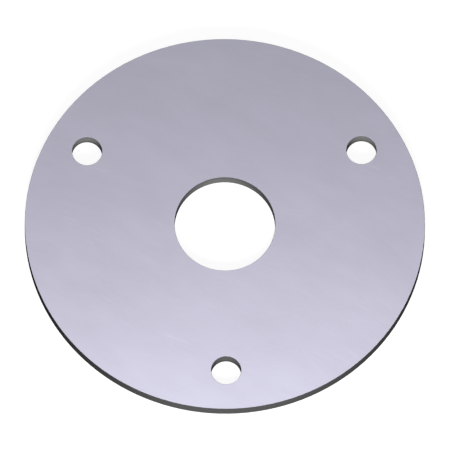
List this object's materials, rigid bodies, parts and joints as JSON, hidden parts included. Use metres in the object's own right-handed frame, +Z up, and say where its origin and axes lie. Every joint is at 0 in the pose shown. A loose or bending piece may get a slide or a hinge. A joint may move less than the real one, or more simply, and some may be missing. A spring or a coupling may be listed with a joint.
{
  "type": "base plate",
  "caption": "Flat round base plate of sheet steel with a central bore for a tube and evenly spaced screw holes near its rim.",
  "frame": {"origin": "on the bore's axis, in the plane of the underside", "axes": "+Z up out of the top face along the bore, -Y towards one of the screw holes, +X to the right of it as seen from above"},
  "size_m": [0.12, 0.12, 0.004],
  "materials": {
    "zinc_steel": "satin"
  },
  "bodies": {
    "root": {"base_plate": "zinc_steel"}
  },
  "joints": []
}
